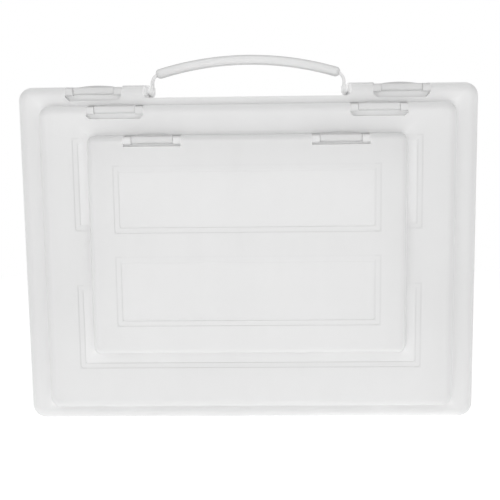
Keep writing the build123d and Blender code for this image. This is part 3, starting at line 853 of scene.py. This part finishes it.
# %% The grip's mesh
GRIP_THICKNESS = 7.2 * MM
GRIP_BOW = 10.5 * MM
GRIP_CORNER = 3.2 * MM
GRIP_SHY = 0.8 * MM
low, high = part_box("handle_grip")
crown = high[2] - GRIP_THICKNESS / 2
grip = grow("grip_smooth", tree,
            {"Span": high[0] - low[0] - GRIP_SHY, "End Height": crown - GRIP_BOW,
             "Top Height": crown, "Depth": (low[1] + high[1]) / 2,
             "Thickness": GRIP_THICKNESS, "Width": high[1] - low[1], "Corner": GRIP_CORNER,
             "Nose": GRIP_NOSE, "Step": GRIP_STEP, "Material": grip_plastic()})
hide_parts("handle_grip")
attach(grip, "handle")
print(grip.name, len(grip.data.polygons), "faces", corners(grip))

# %% [markdown]
# ## The pivot washers
# A thin washer sits on each side of a handle arm, between the boss and the pin's head. Four
# tubes with a hole would do. Here all four are one ring, a small rectangle swept round a
# circle, set on the points of two short lines that run through the pivots, so that they stay
# alike when a size changes.

# %% The tree of the washers
tree, sizes = shape_tree("pivot_washers", ("Inner Place", "Outer Place", "Depth",
                                           "Middle Height", "Ring Radius", "Ring Width",
                                           "Ring Thick"))
ring_line = add_node(tree, "GeometryNodeCurvePrimitiveCircle",
                     {"Resolution": 40, "Radius": sizes["Ring Radius"]}, mode="RADIUS")
ring_section = add_node(tree, "GeometryNodeCurvePrimitiveQuadrilateral",
                        {"Width": sizes["Ring Width"], "Height": sizes["Ring Thick"]},
                        mode="RECTANGLE")
ring = add_node(tree, "GeometryNodeCurveToMesh",
                {"Curve": ring_line.outputs[0], "Profile Curve": ring_section.outputs[0]})
turned = add_node(tree, "GeometryNodeTransform",
                  {"Geometry": ring.outputs[0], "Rotation": (0, radians(90), 0)})
pairs = []
for sign in (-1.0, 1.0):
    ends = [add_node(tree, "ShaderNodeCombineXYZ",
                     {0: maths(tree, "MULTIPLY", sizes[place], sign), 1: sizes["Depth"],
                      2: sizes["Middle Height"]})
            for place in ("Inner Place", "Outer Place")]
    pair = add_node(tree, "GeometryNodeMeshLine",
                    {"Count": 2, "Start Location": ends[0].outputs[0],
                     "Offset": ends[1].outputs[0]}, mode="END_POINTS")
    pairs.append(add_node(tree, "GeometryNodeInstanceOnPoints",
                          {"Points": pair.outputs[0], "Instance": turned.outputs[0]}))
both = add_node(tree, "GeometryNodeJoinGeometry")
for pair in pairs:
    tree.links.new(pair.outputs[0], both.inputs[0])
close_tree(tree, both.outputs[0], sizes["Material"])
print("pivot_washers tree has", len(tree.nodes), "nodes")

# %% Four washers on the arms
ARM_INNER = 71.1 * MM
ARM_OUTER = 73.35 * MM
RING_RADIUS = 2.85 * MM
RING_WIDTH = 2.0 * MM
RING_THICK = 0.18 * MM
washers = grow("pivot_washers", tree,
               {"Inner Place": ARM_INNER, "Outer Place": ARM_OUTER, "Depth": pivot[1],
                "Middle Height": pivot[2], "Ring Radius": RING_RADIUS,
                "Ring Width": RING_WIDTH, "Ring Thick": RING_THICK,
                "Material": finishes["handle_plastic"]})
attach(washers, "handle")
print(washers.name, len(washers.data.polygons), "faces", corners(washers))

# %% [markdown]
# ## The latches
# A latch is one moulded strip: a barrel that turns on a pin in the lid, a flat plate over the
# top edge, a bead that snaps behind a ridge on the base, and a thumb lip that rises in a flat
# arch. A box could be cut and bevelled into this shape, but its section is nearly the same
# all the way across, so it is lofted: one outline is repeated at many stations along X, and
# the lip's points are lifted by the arch as it goes. A Bevel modifier then rounds the two
# ends, as the mould does.

# %% Latch values
PLATE_THICKNESS = 1.0 * MM
LIP_RISE = 1.3 * MM
LIP_LENGTH = 3.6 * MM
LIP_SLOPE = 1.4 * MM
BEAD_LENGTH = 1.0 * MM
BEAD_DROP = 0.8 * MM
BARREL_RADIUS = 2.1 * MM
NOSE_ROUND = 0.9 * MM
END_ROUND = 0.35 * MM
END_ANGLE = radians(60)
STATIONS = 36
BARREL_STEPS, NOSE_STEPS = 14, 5
print("a latch is lofted over", STATIONS + 1, "stations")


# %% The outline of a latch
def arc(centre, radius, start, end, steps):
    """Points round a centre in the Y-Z plane, angles in degrees from +Y."""
    angles = [radians(start + (end - start) * step / steps) for step in range(steps + 1)]
    return [(centre[0] + radius * cos(a), centre[1] + radius * sin(a)) for a in angles]


def latch_section(front, back, top, axis):
    """The outline of a latch, each point with its share of the lip's rise."""
    under = top - PLATE_THICKNESS
    lip_foot = back - LIP_LENGTH
    outline = [(lip_foot - LIP_SLOPE, top, 0.0), (lip_foot, top, 1.0),
               (back - END_ROUND, top, 1.0), (back, top - END_ROUND, 1.0),
               (back, under - BEAD_DROP, 0.0), (back - BEAD_LENGTH, under - BEAD_DROP, 0.0),
               (back - BEAD_LENGTH - BEAD_DROP, under, 0.0)]
    outline.append((axis[0] + BARREL_RADIUS, under, 0.0))
    outline += [(y, z, 0.0) for y, z in arc(axis, BARREL_RADIUS, 0, -180,
                                            BARREL_STEPS)]
    outline += [(y, z, 0.0) for y, z in arc((front + NOSE_ROUND, top - NOSE_ROUND),
                                            NOSE_ROUND, 180, 90, NOSE_STEPS)]
    return outline


# %% One latch
def make_latch(node_name):
    """A smooth latch that takes the place of a CAD latch."""
    low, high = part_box(node_name)
    axis = joints[node_name + "_hinge"]["pos_m"]
    top = high[2] - LIP_RISE
    section = latch_section(low[1], high[1], top, (axis[1], axis[2]))
    centre, half = (low[0] + high[0]) / 2, (high[0] - low[0]) / 2
    mesh = bmesh.new()
    rings, count = [], len(section)
    for station in range(STATIONS + 1):
        offset = -half + 2 * half * station / STATIONS
        rise = LIP_RISE * (1 - (offset / half) ** 2)
        rings.append([mesh.verts.new((centre + offset, y, z + share * rise))
                      for y, z, share in section])
    for one, two in zip(rings, rings[1:]):
        for k in range(count):
            mesh.faces.new((one[k], one[(k + 1) % count], two[(k + 1) % count], two[k]))
    mesh.faces.new(rings[0][::-1])
    mesh.faces.new(rings[-1])
    bmesh.ops.recalc_face_normals(mesh, faces=mesh.faces)
    data = bpy.data.meshes.new(node_name + "_smooth")
    mesh.to_mesh(data)
    mesh.free()
    piece = bpy.data.objects.new(node_name + "_smooth", data)
    bpy.context.scene.collection.objects.link(piece)
    bevel = piece.modifiers.new("mould_edges", "BEVEL")
    bevel.width = END_ROUND
    bevel.segments = 2
    bevel.limit_method = "ANGLE"
    bevel.angle_limit = END_ANGLE
    data.materials.append(latch_looks[node_name.split("_")[0]])
    return bake(piece)


# %% Swap all six
for name in nodes:
    if slot_of[name] == "latch_plastic":
        piece = make_latch(name)
        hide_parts(name)
        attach(piece, name)
        print(piece.name, len(piece.data.polygons), "faces")
